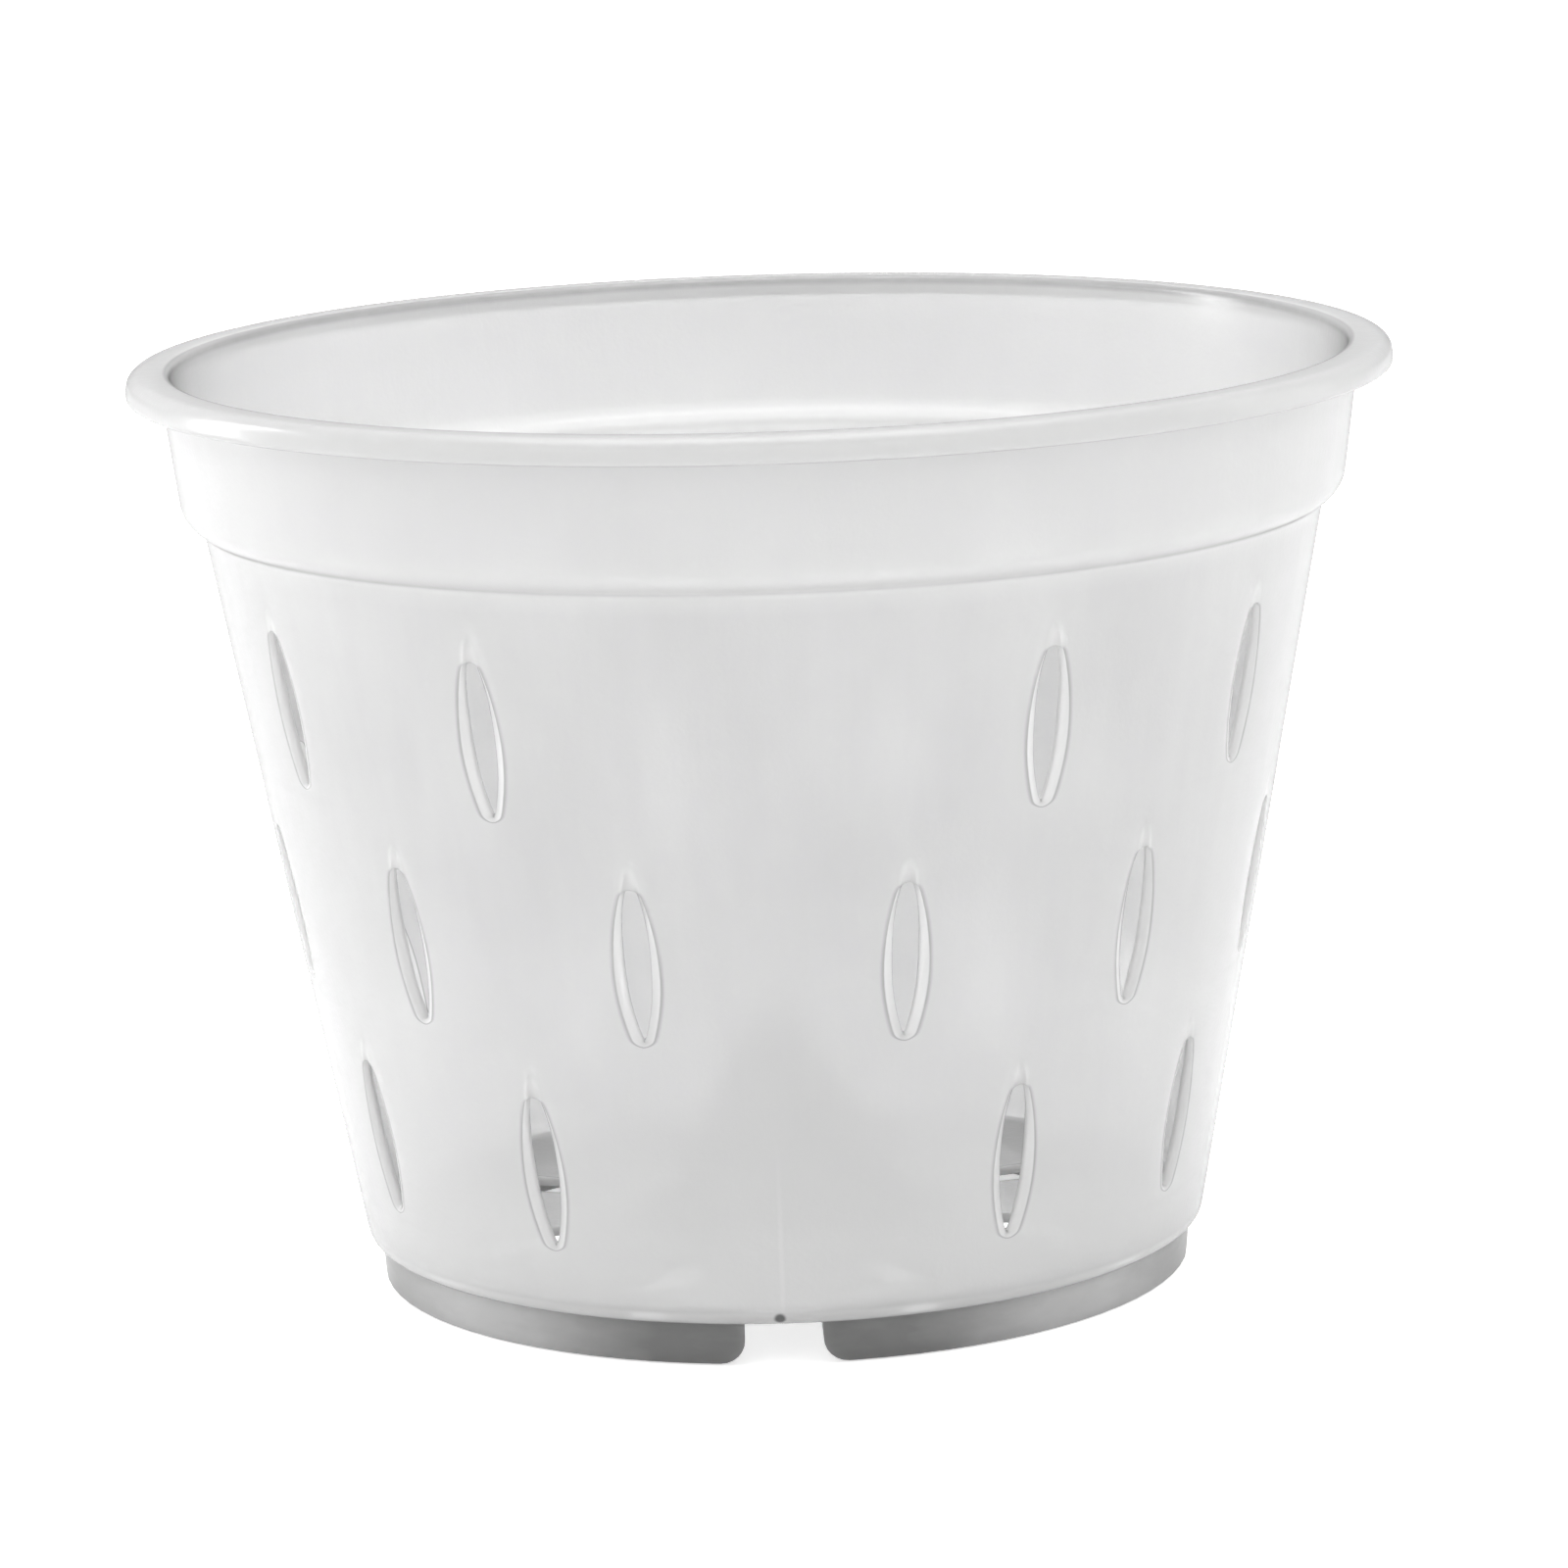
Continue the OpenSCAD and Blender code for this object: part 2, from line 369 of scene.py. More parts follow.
def cell_section(thickness, lead_in, throat):
    """Steps from a cell's border over the slot's edge to the border on the other face.

    Each step is (share of the way from the slot to the border, distance from the slot's line,
    depth). The edge stands in from the slot's line by the throat.
    """
    far = (1.0, 0.72, 0.45, 0.24)
    outer = [(share, 0.0, 0.0) for share in far]
    width = lead_in + throat
    steps = ((1.0, 0.0), (0.75, 0.04), (0.5, 0.15), (0.25, 0.33), (0.0, 0.52))
    outer += [(0.0, share * width - throat, depth) for share, depth in steps]
    inner_edge = 0.25
    inner = [(0.0, -throat, thickness - inner_edge), (0.0, 0.06 - throat, thickness - 0.06)]
    inner += [(0.0, inner_edge - throat, thickness), (0.0, lead_in, thickness)]
    inner += [(share, 0.0, thickness) for share in reversed(far)]
    return outer + inner


def slotted_cell(name, outline, border, groove, place, lead_in, throat):
    """One cell of the sheet with a slot in it: a grid that is wrapped round the slot's edge.

    outline and border are equally long lists of flat points, and place turns (x, y, depth) to
    a place on the sheet.
    """
    thickness = shape_mm("wall_t")
    section = cell_section(thickness, lead_in, throat)
    half_length = max(y for _, y in outline)

    def wrap(column, row):
        i = column % len(outline)
        share, offset, depth = section[row]
        x, y = outline[i]
        # The groove fades in over the slot's middle third, and there the edge is half as wide
        lift = smoothstep((y / half_length + 0.35) / 0.7)
        slot_point = Vector((x, y + groove * lift * depth / thickness))
        way = Vector(border[i]) - slot_point
        blunt = 1 - 0.5 * lift if groove and offset > 0 else 1.0
        spot = slot_point + way * share + way.normalized() * offset * blunt
        return place(spot.x, spot.y, depth)

    def rim_share(row):
        share, offset, _ = section[row]
        return 0.0 if share else 1 - (offset + throat) / (lead_in + throat)

    return wrapped_grid(name, len(outline), len(section) - 1, wrap, rim_share)


def wall_row_angle(z):
    """Degrees of turn for a millimetre along the wall at height z."""
    return 180 / (math.pi * wall_out(z))


def on_wall(azimuth, z, depth):
    """A point under the outer face of the wall."""
    a = math.radians(azimuth - 90)
    r = wall_out(z) - depth / math.cos(wall_angle())
    return Vector((r * math.cos(a), r * math.sin(a), z))


def box_border(half_x, low, high, across, up):
    """Points round a rectangle in the oval's order: right side, top, left side and bottom."""
    right = [(half_x, low + (high - low) * i / up) for i in range(up)]
    top = [(half_x - 2 * half_x * i / across, high) for i in range(across)]
    left = [(-half_x, high - (high - low) * i / up) for i in range(up)]
    bottom = [(-half_x + 2 * half_x * i / across, low) for i in range(across)]
    return right + top + left + bottom


def wall_cells():
    """The slotted wall: three rows of cells, with plain cells where a slot is left out."""
    slot_length, slot_width = shape_mm("slot_length"), shape_mm("slot_width")
    below = slot_length / 2 + BELOW_SLOT
    steps = CELL * AROUND // 360
    up = SLOT_POINTS // 2 - steps
    along = 1 / math.cos(wall_angle())
    low, high = -below * along, (CAD["row_pitch"] - below) * along
    outline = oval(slot_length, slot_width, shape_mm("slot_end_r"), up, steps)
    made = []
    for row in range(3):
        middle_row = row == 1
        row_z = CAD["rows_low_z"] + row * CAD["row_pitch"] + below
        turn = wall_row_angle(row_z)
        half_x = CELL / 2 / turn
        first = CELL / 2 if middle_row else CELL
        azimuths = [first + k * CELL for k in range(360 // CELL)]
        if not middle_row:
            azimuths = [azimuth for azimuth in azimuths if azimuth % 90]
        cell = slotted_cell(
            "wall_cell",
            outline,
            box_border(half_x, low, high, steps, up),
            shape_mm("groove_length"),
            wall_placer(first, turn, row_z, along),
            shape_mm("slot_lead_in"),
            shape_mm("slot_throat"),
        )
        made += copied_round([cell], [azimuth - first for azimuth in azimuths[1:]])
        if not middle_row:
            place = wall_placer(0, turn, row_z, along)
            made += copied_round(plain_cell(half_x, low, high, steps, up, place), (90, 180, 270))
    return made


def wall_placer(azimuth, turn, row_z, along):
    return lambda x, y, depth: on_wall(azimuth + x * turn, row_z + y / along, depth)


def plain_cell(half_x, low, high, across, up, place):
    """Both faces of a cell without a slot."""

    def face(depth):
        def spread(i, k):
            x = half_x - 2 * half_x * i / across
            return place(x, low + (high - low) * k / up, depth)

        return wrapped_grid("plain_cell", across, up, spread)

    return [face(0.0), face(shape_mm("wall_t"))]


def floor_cells():
    """The floor between the cone and the heel, one sector for each drainage slot."""
    sectors = 8
    steps = AROUND // sectors
    radial = SLOT_POINTS // 2 - steps
    inner_r, outer_r = CAD["cone_edge_r"], CAD["floor_r"]
    width = outer_r - inner_r
    middle = (inner_r + outer_r) / 2
    half = math.radians(180 / sectors)
    thickness = CAD["floor_top_z"] - CAD["foot_height"]
    turn = Matrix.Rotation(half, 3, "Z")

    def rim(r, a):
        return (r * math.sin(a), r * math.cos(a) - middle)

    def place(x, y, depth):
        z = CAD["floor_top_z"] - depth * thickness / shape_mm("wall_t")
        return turn @ Vector((x, y + middle, z))

    border = [rim(inner_r + width * i / radial, half) for i in range(radial)]
    border += [rim(outer_r, half - 2 * half * i / steps) for i in range(steps)]
    border += [rim(outer_r - width * i / radial, -half) for i in range(radial)]
    border += [rim(inner_r, -half + 2 * half * i / steps) for i in range(steps)]
    outline = stadium(shape_mm("drain_length"), shape_mm("drain_width"), radial, steps)
    # The drainage slots have no groove, and their rounded edges stay on their line
    cell = slotted_cell("floor_cell", outline, border, 0.0, place, 0.4, 0.0)
    return copied_round([cell], [k * 360 / sectors for k in range(1, sectors)])


def shoulder_arcs():
    """The shoulder's round and its fillet: their centres, radii and the angle where they meet."""
    round_r, fillet_r = 3.8, 1.2
    taper = math.atan(
        (CAD["collar_top_r"] - CAD["collar_bottom_r"])
        / (CAD["collar_top_z"] - CAD["collar_bottom_z"])
    )
    round_c = (
        CAD["collar_bottom_r"] - round_r * math.cos(taper),
        CAD["collar_bottom_z"] + round_r * math.sin(taper),
    )
    lean = CAD["wall_lean"]
    gap = wall_out(round_c[1]) + fillet_r / math.cos(wall_angle()) - round_c[0]
    reach = round_r + fillet_r
    stretch = 1 + lean * lean
    drop = (-gap * lean - math.sqrt(reach * reach * stretch - gap * gap)) / stretch
    fillet_c = (round_c[0] + gap + lean * drop, round_c[1] + drop)
    turn = math.degrees(math.atan2(-drop, -gap - lean * drop))
    return round_c, round_r, fillet_c, fillet_r, turn, math.degrees(taper)


def upper_profile(wall_border_z):
    """From the wall's outer face up over shoulder, collar and lip, and down inside to the wall."""
    t = shape_mm("wall_t")
    round_c, round_r, fillet_c, fillet_r, turn, taper = shoulder_arcs()
    wall_turn = 180 - math.degrees(wall_angle())
    # Smoothing draws the lip in by 0.3 mm
    top, lip_r, collar_r = CAD["height"], CAD["lip_r"] + 0.3, CAD["collar_top_r"]
    collar_low = (CAD["collar_bottom_r"], CAD["collar_bottom_z"])
    collar_high = (collar_r, CAD["collar_top_z"])
    inside_r = collar_r - t
    flange_t, flange_r = 1.2, 0.7
    skirt_t, skirt_low, skirt_end_r = 1.3, top - 3.2, 0.5
    round_out_r, mouth_r = 1.9, 0.9
    out = [(wall_out(wall_border_z), wall_border_z)]
    out += arc(fillet_c, fillet_r, wall_turn, turn, 3)
    out += arc(round_c, round_r, turn - 180, -taper, 6)[1:]
    out += between(collar_low, collar_high, 4) + [collar_high]
    out += arc((collar_r + flange_r, top - flange_t - flange_r), flange_r, 180, 90, 2)
    skirt_out_c = (lip_r - 2.2, top - round_out_r)
    out += arc(skirt_out_c, flange_r, 90, 10, 2)
    skirt_mid = lip_r - skirt_t / 2
    out += arc((skirt_mid - 0.15, skirt_low + 0.55), skirt_end_r, 180, 360, 4)
    out += arc(skirt_out_c, round_out_r, 0, 90, 5)[1:]
    out += between((skirt_out_c[0], top), (inside_r + 1.0, top), 1)
    out += arc((inside_r + mouth_r, top - mouth_r), mouth_r, 90, 180, 3)
    inner_low = (collar_low[0] - t, collar_low[1])
    out += between((inside_r, top - mouth_r), inner_low, 5) + [inner_low]
    out += arc(round_c, round_r - t, -taper, turn - 180, 5)[1:]
    out += arc(fillet_c, fillet_r + t, turn, wall_turn, 3)[1:]
    out += [(wall_in(wall_border_z), wall_border_z)]
    return out


def heel_profiles(wall_border_z):
    """The round lower edge, outside and inside, from the wall to the floor's outer border."""
    foot_z, floor_z, floor_r = CAD["foot_height"], CAD["floor_top_z"], CAD["floor_r"]
    lean_degrees = math.degrees(wall_angle())
    inner_r = 3.0
    heel_c = (wall_out(foot_z + HEEL_R) - HEEL_R / math.cos(wall_angle()), foot_z + HEEL_R)
    inner_z = floor_z + inner_r
    inner_c = (wall_in(inner_z) - inner_r / math.cos(wall_angle()), inner_z)
    outside = [(wall_out(wall_border_z), wall_border_z)]
    outside += between(outside[0], (wall_out(heel_c[1]), heel_c[1]), 2)
    outside += arc(heel_c, HEEL_R, -lean_degrees, -90, 4) + [(floor_r, foot_z)]
    inside = [(wall_in(wall_border_z), wall_border_z)]
    inside += between(inside[0], (wall_in(inner_z), inner_z), 1)
    inside += arc(inner_c, inner_r, -lean_degrees, -90, 4) + [(floor_r, floor_z)]
    return outside, inside


def cone_profiles():
    """The cone's upper and lower face, each from the floor's inner border to the axis."""
    t = CAD["floor_top_z"] - CAD["foot_height"]
    edge_r, floor_z, foot_z = CAD["cone_edge_r"], CAD["floor_top_z"], CAD["foot_height"]
    tip_r, fillet_r = 4.0, 3.0
    tip_z = CAD["cone_top_z"] - tip_r
    cone_r = 16.0
    rise = tip_z - floor_z
    angle = math.degrees(math.atan(cone_r / rise) - math.asin(tip_r / math.hypot(cone_r, rise)))
    a = math.radians(angle)
    fillet_c = (cone_r + fillet_r * (1 - math.sin(a)) / math.cos(a), floor_z + fillet_r)
    top_arc = arc((0, tip_z), tip_r, angle, 90, 4)
    low_arc = arc((0, tip_z), tip_r - t, angle, 90, 4)
    foot_top = arc(fillet_c, fillet_r, -90, angle - 180, 4)
    foot_low = arc(fillet_c, fillet_r + t, -90, angle - 180, 4)
    over = [(edge_r, floor_z)] + foot_top + between(foot_top[-1], top_arc[0], 5) + top_arc
    under = [(edge_r, foot_z)] + foot_low + between(foot_low[-1], low_arc[0], 5) + low_arc
    return over, under


def join_all(pieces, name):
    start_clean()
    for piece in pieces:
        piece.select_set(True)
    bpy.context.view_layer.objects.active = pieces[0]
    bpy.ops.object.join()
    obj = bpy.context.object
    obj.name = name
    bpy.ops.object.mode_set(mode="EDIT")
    bpy.ops.mesh.select_all(action="SELECT")
    bpy.ops.mesh.remove_doubles(threshold=0.01)
    bpy.ops.mesh.normals_make_consistent(inside=False)
    bpy.ops.object.mode_set(mode="OBJECT")
    return obj


def check_closed(obj):
    """Stops the script where a shell has an open seam."""
    uses = {}
    for polygon in obj.data.polygons:
        for key in polygon.edge_keys:
            uses[key] = uses.get(key, 0) + 1
    open_edges = [key for key, count in uses.items() if count != 2]
    if open_edges:
        place = obj.data.vertices[open_edges[0][0]].co
        raise RuntimeError(f"{obj.name} has {len(open_edges)} open edges, one at {place}")


def add_node(tree, kind, settings=None, *inputs, **named):
    """Adds a node with its settings and inputs.

    An input is a number, a colour, a socket, or a node whose first output is meant.
    """
    node = tree.nodes.new(kind)
    for key, value in (settings or {}).items():
        setattr(node, key, value)
    keyed = [*enumerate(inputs), *((key.replace("_", " "), v) for key, v in named.items())]
    for key, value in keyed:
        if isinstance(value, bpy.types.Node):
            value = value.outputs[0]
        if isinstance(value, bpy.types.NodeSocket):
            tree.links.new(value, node.inputs[key])
        elif value is not None:
            if node.inputs[key].type == "RGBA":
                value = (*value[:3], 1)
            node.inputs[key].default_value = value
    return node


def empty_material(name):
    material = bpy.data.materials.new(name)
    material.use_nodes = True
    material.node_tree.nodes.clear()
    return material, material.node_tree


def painted_hood_light(tree, azimuth, radius, height):
    """Where the wall is thin over the grooves: a soft spot above each slot, 1 in its middle,
    painted pale for the light that comes through the thin wall.

    The azimuth is in radians, as azimuth_of gives it, and radius and height in millimetres.
    """
    half_width, half_height = 1.4, 3.4
    half_cell = math.radians(CELL / 2)
    row_pitch = CAD["row_pitch"]
    hood_z = shape_mm("slot_length") + BELOW_SLOT
    rise = add_node(tree, "ShaderNodeMath", {"operation": "SUBTRACT"}, height, CAD["rows_low_z"])
    row = add_node(tree, "ShaderNodeMath", {"operation": "DIVIDE"}, rise, row_pitch)
    row = add_node(tree, "ShaderNodeMath", {"operation": "FLOOR"}, row)
    middle_row = add_node(tree, "ShaderNodeMath", {"operation": "COMPARE"}, row, 1, 0.5)
    turned = add_node(
        tree, "ShaderNodeMath", {"operation": "MULTIPLY_ADD"}, middle_row, half_cell, azimuth
    )
    across = add_node(tree, "ShaderNodeMath", {"operation": "WRAP"}, turned, half_cell, -half_cell)
    across = add_node(tree, "ShaderNodeMath", {"operation": "MULTIPLY"}, across, radius)
    across = add_node(tree, "ShaderNodeMath", {"operation": "DIVIDE"}, across, half_width)
    up = add_node(tree, "ShaderNodeMath", {"operation": "WRAP"}, rise, row_pitch, 0)
    up = add_node(tree, "ShaderNodeMath", {"operation": "SUBTRACT"}, up, hood_z)
    up = add_node(tree, "ShaderNodeMath", {"operation": "DIVIDE"}, up, half_height)
    spot = add_node(tree, "ShaderNodeCombineXYZ", None, across, up)
    spot = add_node(tree, "ShaderNodeVectorMath", {"operation": "LENGTH"}, spot).outputs["Value"]
    soft = add_node(tree, "ShaderNodeMapRange", SOFT, Value=spot, From_Min=1.0, From_Max=0.35)
    quarter = add_node(tree, "ShaderNodeMath", {"operation": "PINGPONG"}, azimuth, math.pi / 4)
    slotted = add_node(tree, "ShaderNodeMath", {"operation": "GREATER_THAN"}, quarter, half_cell)
    slotted = add_node(tree, "ShaderNodeMath", {"operation": "MAXIMUM"}, slotted, middle_row)
    on_wall_itself = add_node(
        tree, "ShaderNodeMath", {"operation": "GREATER_THAN"}, radius, INSIDE_WALL_R
    )
    middle = 1.5 * row_pitch
    in_rows = add_node(tree, "ShaderNodeMath", {"operation": "COMPARE"}, rise, middle, middle)
    for mask in (slotted, on_wall_itself, in_rows):
        soft = add_node(tree, "ShaderNodeMath", {"operation": "MULTIPLY"}, soft, mask)
    return soft


def parting_line(tree, axes, radius, height):
    """The mould's parting line, low on the front and back of the wall, 0.5 mm wide."""
    aside = add_node(tree, "ShaderNodeMath", {"operation": "ABSOLUTE"}, axes.outputs["X"])
    line = add_node(
        tree,
        "ShaderNodeMapRange",
        None,
        Value=aside,
        From_Min=0.1 * TO_METRES,
        From_Max=0.4 * TO_METRES,
        To_Min=0.25,
        To_Max=0.0,
    )
    low = add_node(tree, "ShaderNodeMapRange", None, Value=height, From_Min=28, From_Max=18)
    on_wall_itself = add_node(
        tree, "ShaderNodeMath", {"operation": "GREATER_THAN"}, radius, INSIDE_WALL_R
    )
    for mask in (low, on_wall_itself):
        line = add_node(tree, "ShaderNodeMath", {"operation": "MULTIPLY"}, line, mask)
    return line


def painted_heel_glint(tree, radius, height):
    """Painted highlight: a pale glint along the lower edge, as high as its rounding, where the
    skin turns under.
    """
    edge_top, fade, inner_r = CAD["foot_height"] + HEEL_R, 0.3, 50.6
    line = add_node(
        tree,
        "ShaderNodeMapRange",
        SOFT,
        Value=height,
        From_Min=edge_top + fade,
        From_Max=edge_top - fade,
    )
    outer = add_node(tree, "ShaderNodeMath", {"operation": "GREATER_THAN"}, radius, inner_r)
    return add_node(tree, "ShaderNodeMath", {"operation": "MULTIPLY"}, line, outer)


def painted_lip_shade(tree, radius, height):
    """Painted shade: the thin grey line on the lip's inner corner."""
    corner_r = CAD["collar_top_r"] - shape_mm("wall_t") + 0.3
    top = CAD["height"]
    apart = add_node(tree, "ShaderNodeMath", {"operation": "SUBTRACT"}, radius, corner_r)
    apart = add_node(tree, "ShaderNodeMath", {"operation": "ABSOLUTE"}, apart)
    line = add_node(
        tree,
        "ShaderNodeMapRange",
        None,
        Value=apart,
        From_Min=0.25,
        From_Max=0.6,
        To_Min=0.5,
        To_Max=0.0,
    )
    on_top = add_node(
        tree, "ShaderNodeMapRange", None, Value=height, From_Min=top - 1.3, From_Max=top - 0.8
    )
    return add_node(tree, "ShaderNodeMath", {"operation": "MULTIPLY"}, line, on_top)


def gate_mark(tree, place):
    """The small dark scar of the mould's gate on the lower edge over the front notch, 1.2 mm."""
    centre = (-0.0004, -0.0515, 0.006)
    apart = add_node(tree, "ShaderNodeVectorMath", {"operation": "DISTANCE"}, place, centre)
    return add_node(
        tree,
        "ShaderNodeMapRange",
        SOFT,
        Value=apart.outputs["Value"],
        From_Min=0.9 * TO_METRES,
        From_Max=0.4 * TO_METRES,
    )


def painted_inside_shade(tree, flat, height):
    """Painted shade: the share of grey on the inner faces below the collar, where the inside of
    the pot lies in shade.
    """
    # On a wall's inner face the product is the radius in millimetres, below zero
    normal = add_node(tree, "ShaderNodeNewGeometry").outputs["Normal"]
    outward = add_node(tree, "ShaderNodeVectorMath", {"operation": "DOT_PRODUCT"}, normal, flat)
    inside = add_node(
        tree,
        "ShaderNodeMapRange",
        None,
        Value=outward.outputs["Value"],
        From_Min=-30,
        From_Max=-10,
        To_Min=0.1,
        To_Max=0.0,
    )
    low = add_node(tree, "ShaderNodeMapRange", None, Value=height, From_Min=95, From_Max=80)
    return add_node(tree, "ShaderNodeMath", {"operation": "MULTIPLY"}, inside, low)


def painted_rim_lines(tree, rim):
    """Painted light on a slot's edge: a painted highlight on the edge, where it pipes light, and a
    darker painted shade line outside it.
    """
    pale = add_node(tree, "ShaderNodeMapRange", SOFT, Value=rim, From_Min=0.15, From_Max=0.3)
    dark = add_node(tree, "ShaderNodeMapRange", SOFT, Value=rim, From_Max=0.15)
    dark = add_node(tree, "ShaderNodeMath", {"operation": "SUBTRACT"}, dark, pale)
    held = {"operation": "MULTIPLY", "use_clamp": True}
    return pale, add_node(tree, "ShaderNodeMath", held, dark, 0.5)


def satin_skin(tree, place, flow):
    """The mould's blasted grain, 0.4 mm, drawn at 0.6 mm so that it shows, over flow marks."""
    grain = add_node(tree, "ShaderNodeTexNoise", None, Vector=place, Scale=1600, Detail=1)
    height = add_node(tree, "ShaderNodeMath", {"operation": "MULTIPLY_ADD"}, flow, 2.0, grain)
    return add_node(tree, "ShaderNodeBump", None, Strength=0.15, Distance=0.0001, Height=height)


def azimuth_of(tree, axes):
    """The angle about the pot's axis in radians, 0 at the back and growing to the right."""
    x, y = axes.outputs["X"], axes.outputs["Y"]
    return add_node(tree, "ShaderNodeMath", {"operation": "ARCTAN2"}, x, y)


def clear_polypropylene():
    """Natural polypropylene, injection moulded: milky, so that what is behind it shows only as
    soft shapes, with a satin skin that gives broad soft highlights. Over the grooves the wall is
    thinner, and a painted pale spot there stands for the light that comes through it; the
    slots' edges are polished by the mould's faces that shut there and carry a painted highlight
    with a painted shade line outside it."""
    material, tree = empty_material("natural_polypropylene_moulded")
    finish = bpy.context.scene.pot_finish
    place = add_node(tree, "ShaderNodeTexCoord").outputs["Object"]
    axes = add_node(tree, "ShaderNodeSeparateXYZ", None, place)
    height = add_node(
        tree, "ShaderNodeMath", {"operation": "MULTIPLY"}, axes.outputs["Z"], TO_MILLIMETRES
    )
    level = (TO_MILLIMETRES, TO_MILLIMETRES, 0)
    flat = add_node(tree, "ShaderNodeVectorMath", {"operation": "MULTIPLY"}, place, level)
    radius = add_node(tree, "ShaderNodeVectorMath", {"operation": "LENGTH"}, flat).outputs["Value"]
    rim = add_node(tree, "ShaderNodeAttribute", {"attribute_name": RIM}).outputs["Fac"]
    # Haze gathers in clouds of about 20 mm
    clouds = add_node(tree, "ShaderNodeTexNoise", None, Vector=place, Scale=50, Detail=3)
    # Flow marks run up from the floor, about 3 mm apart round the wall and ten times as long
    drawn = add_node(tree, "ShaderNodeMapping", None, place, None, None, (1, 1, 0.1))
    flow = add_node(tree, "ShaderNodeTexNoise", None, Vector=drawn, Scale=330, Detail=2)
    milk = add_node(tree, "ShaderNodeMath", {"operation": "MULTIPLY_ADD"}, flow, 0.5, clouds)
    milk = add_node(tree, "ShaderNodeMapRange", None, Value=milk, From_Min=0.55, From_Max=0.95)
    milky = add_node(
        tree, "ShaderNodeMix", BLEND, Factor=milk, A=finish.clear_colour, B=finish.hazy_colour
    )
    # Painted light: the wall is drawn paler low down, to lift the shade that falls on it near the
    # floor
    upward = add_node(tree, "ShaderNodeMapRange", None, Value=height, From_Min=5, From_Max=60)
    # The collar is drawn partly in the paler colour of the low wall
    collar = add_node(
        tree, "ShaderNodeMapRange", None, Value=height, From_Min=91.5, From_Max=94, To_Max=0.6
    )
    # Painted shade: the cone is drawn deeper, because it stands between the light and the front
    # wall, so that its shade shows through the wall
    cone = add_node(
        tree,
        "ShaderNodeMapRange",
        None,
        Value=radius,
        From_Min=17,
        From_Max=21,
        To_Min=0.5,
        To_Max=0,
    )
    pale, dark = painted_rim_lines(tree, rim)
    for mask in (
        painted_hood_light(tree, azimuth_of(tree, axes), radius, height),
        parting_line(tree, axes, radius, height),
        painted_heel_glint(tree, radius, height),
    ):
        pale = add_node(tree, "ShaderNodeMath", {"operation": "MAXIMUM"}, pale, mask)
    colour = finish.low_colour
    for share, over in (
        (upward, milky.outputs["Result"]),
        (collar, finish.low_colour),
        (dark, finish.gate_scar_and_shade_colour),
        (cone, finish.gate_scar_and_shade_colour),
        (pale, finish.pale_mark_and_painted_light_colour),
        (gate_mark(tree, place), finish.gate_scar_and_shade_colour),
        (painted_lip_shade(tree, radius, height), finish.gate_scar_and_shade_colour),
        (painted_inside_shade(tree, flat, height), finish.gate_scar_and_shade_colour),
    ):
        mix = add_node(tree, "ShaderNodeMix", BLEND, Factor=share, A=colour, B=over)
        colour = mix.outputs["Result"]
    # Low down the mould is smoother, so the cone shows as a soft dark peak behind the wall
    satin = add_node(
        tree,
        "ShaderNodeMapRange",
        None,
        Value=height,
        From_Min=28,
        From_Max=50,
        To_Min=LOW_WALL_ROUGH,
        To_Max=WALL_ROUGH,
    )
    satin = add_node(tree, "ShaderNodeMapRange", None, Value=rim, To_Min=satin, To_Max=RIM_ROUGH)
    plastic = add_node(
        tree,
        "ShaderNodeBsdfPrincipled",
        None,
        Base_Color=colour,
        Roughness=satin,
        IOR=POLYPROPYLENE_IOR,
        Transmission_Weight=WALL_CLEAR,
        Subsurface_Weight=1.0,
        Subsurface_Radius=(1, 1, 1),
        Subsurface_Scale=2 * TO_METRES,
        # Light goes through more of the skin where it is seen along, so outlines turn greyer
        Coat_Weight=1.0,
        Coat_IOR=1.002,
        Coat_Roughness=WALL_ROUGH,
        Coat_Tint=finish.skin_colour,
        Normal=satin_skin(tree, place, flow),
    )
    add_node(tree, "ShaderNodeOutputMaterial", None, plastic)
    return material


